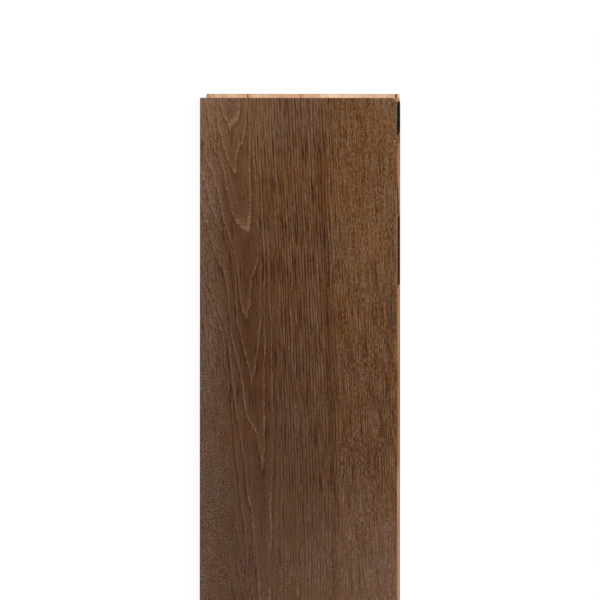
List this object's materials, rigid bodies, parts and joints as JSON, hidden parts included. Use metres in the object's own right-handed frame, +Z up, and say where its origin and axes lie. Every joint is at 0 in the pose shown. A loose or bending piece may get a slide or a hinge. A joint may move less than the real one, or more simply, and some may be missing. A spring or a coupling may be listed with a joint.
{
  "type": "wide plank floorboard",
  "caption": "Wide engineered floorboard with a dark stained oak wear layer on a plywood core, tongued and grooved on its edges and ends.",
  "frame": {"origin": "under the middle of the board's box, tongues included, on the plane of the underside", "axes": "+Z up out of the oak face, +Y along the board towards the end tongue, +X across it towards the side tongue"},
  "size_m": [0.193, 1.904, 0.014],
  "materials": {
    "stained_oak": "matte",
    "raw_plywood": "matte"
  },
  "bodies": {
    "root": {"oak_wear_layer": "stained_oak", "plywood_core": "raw_plywood"}
  },
  "joints": []
}
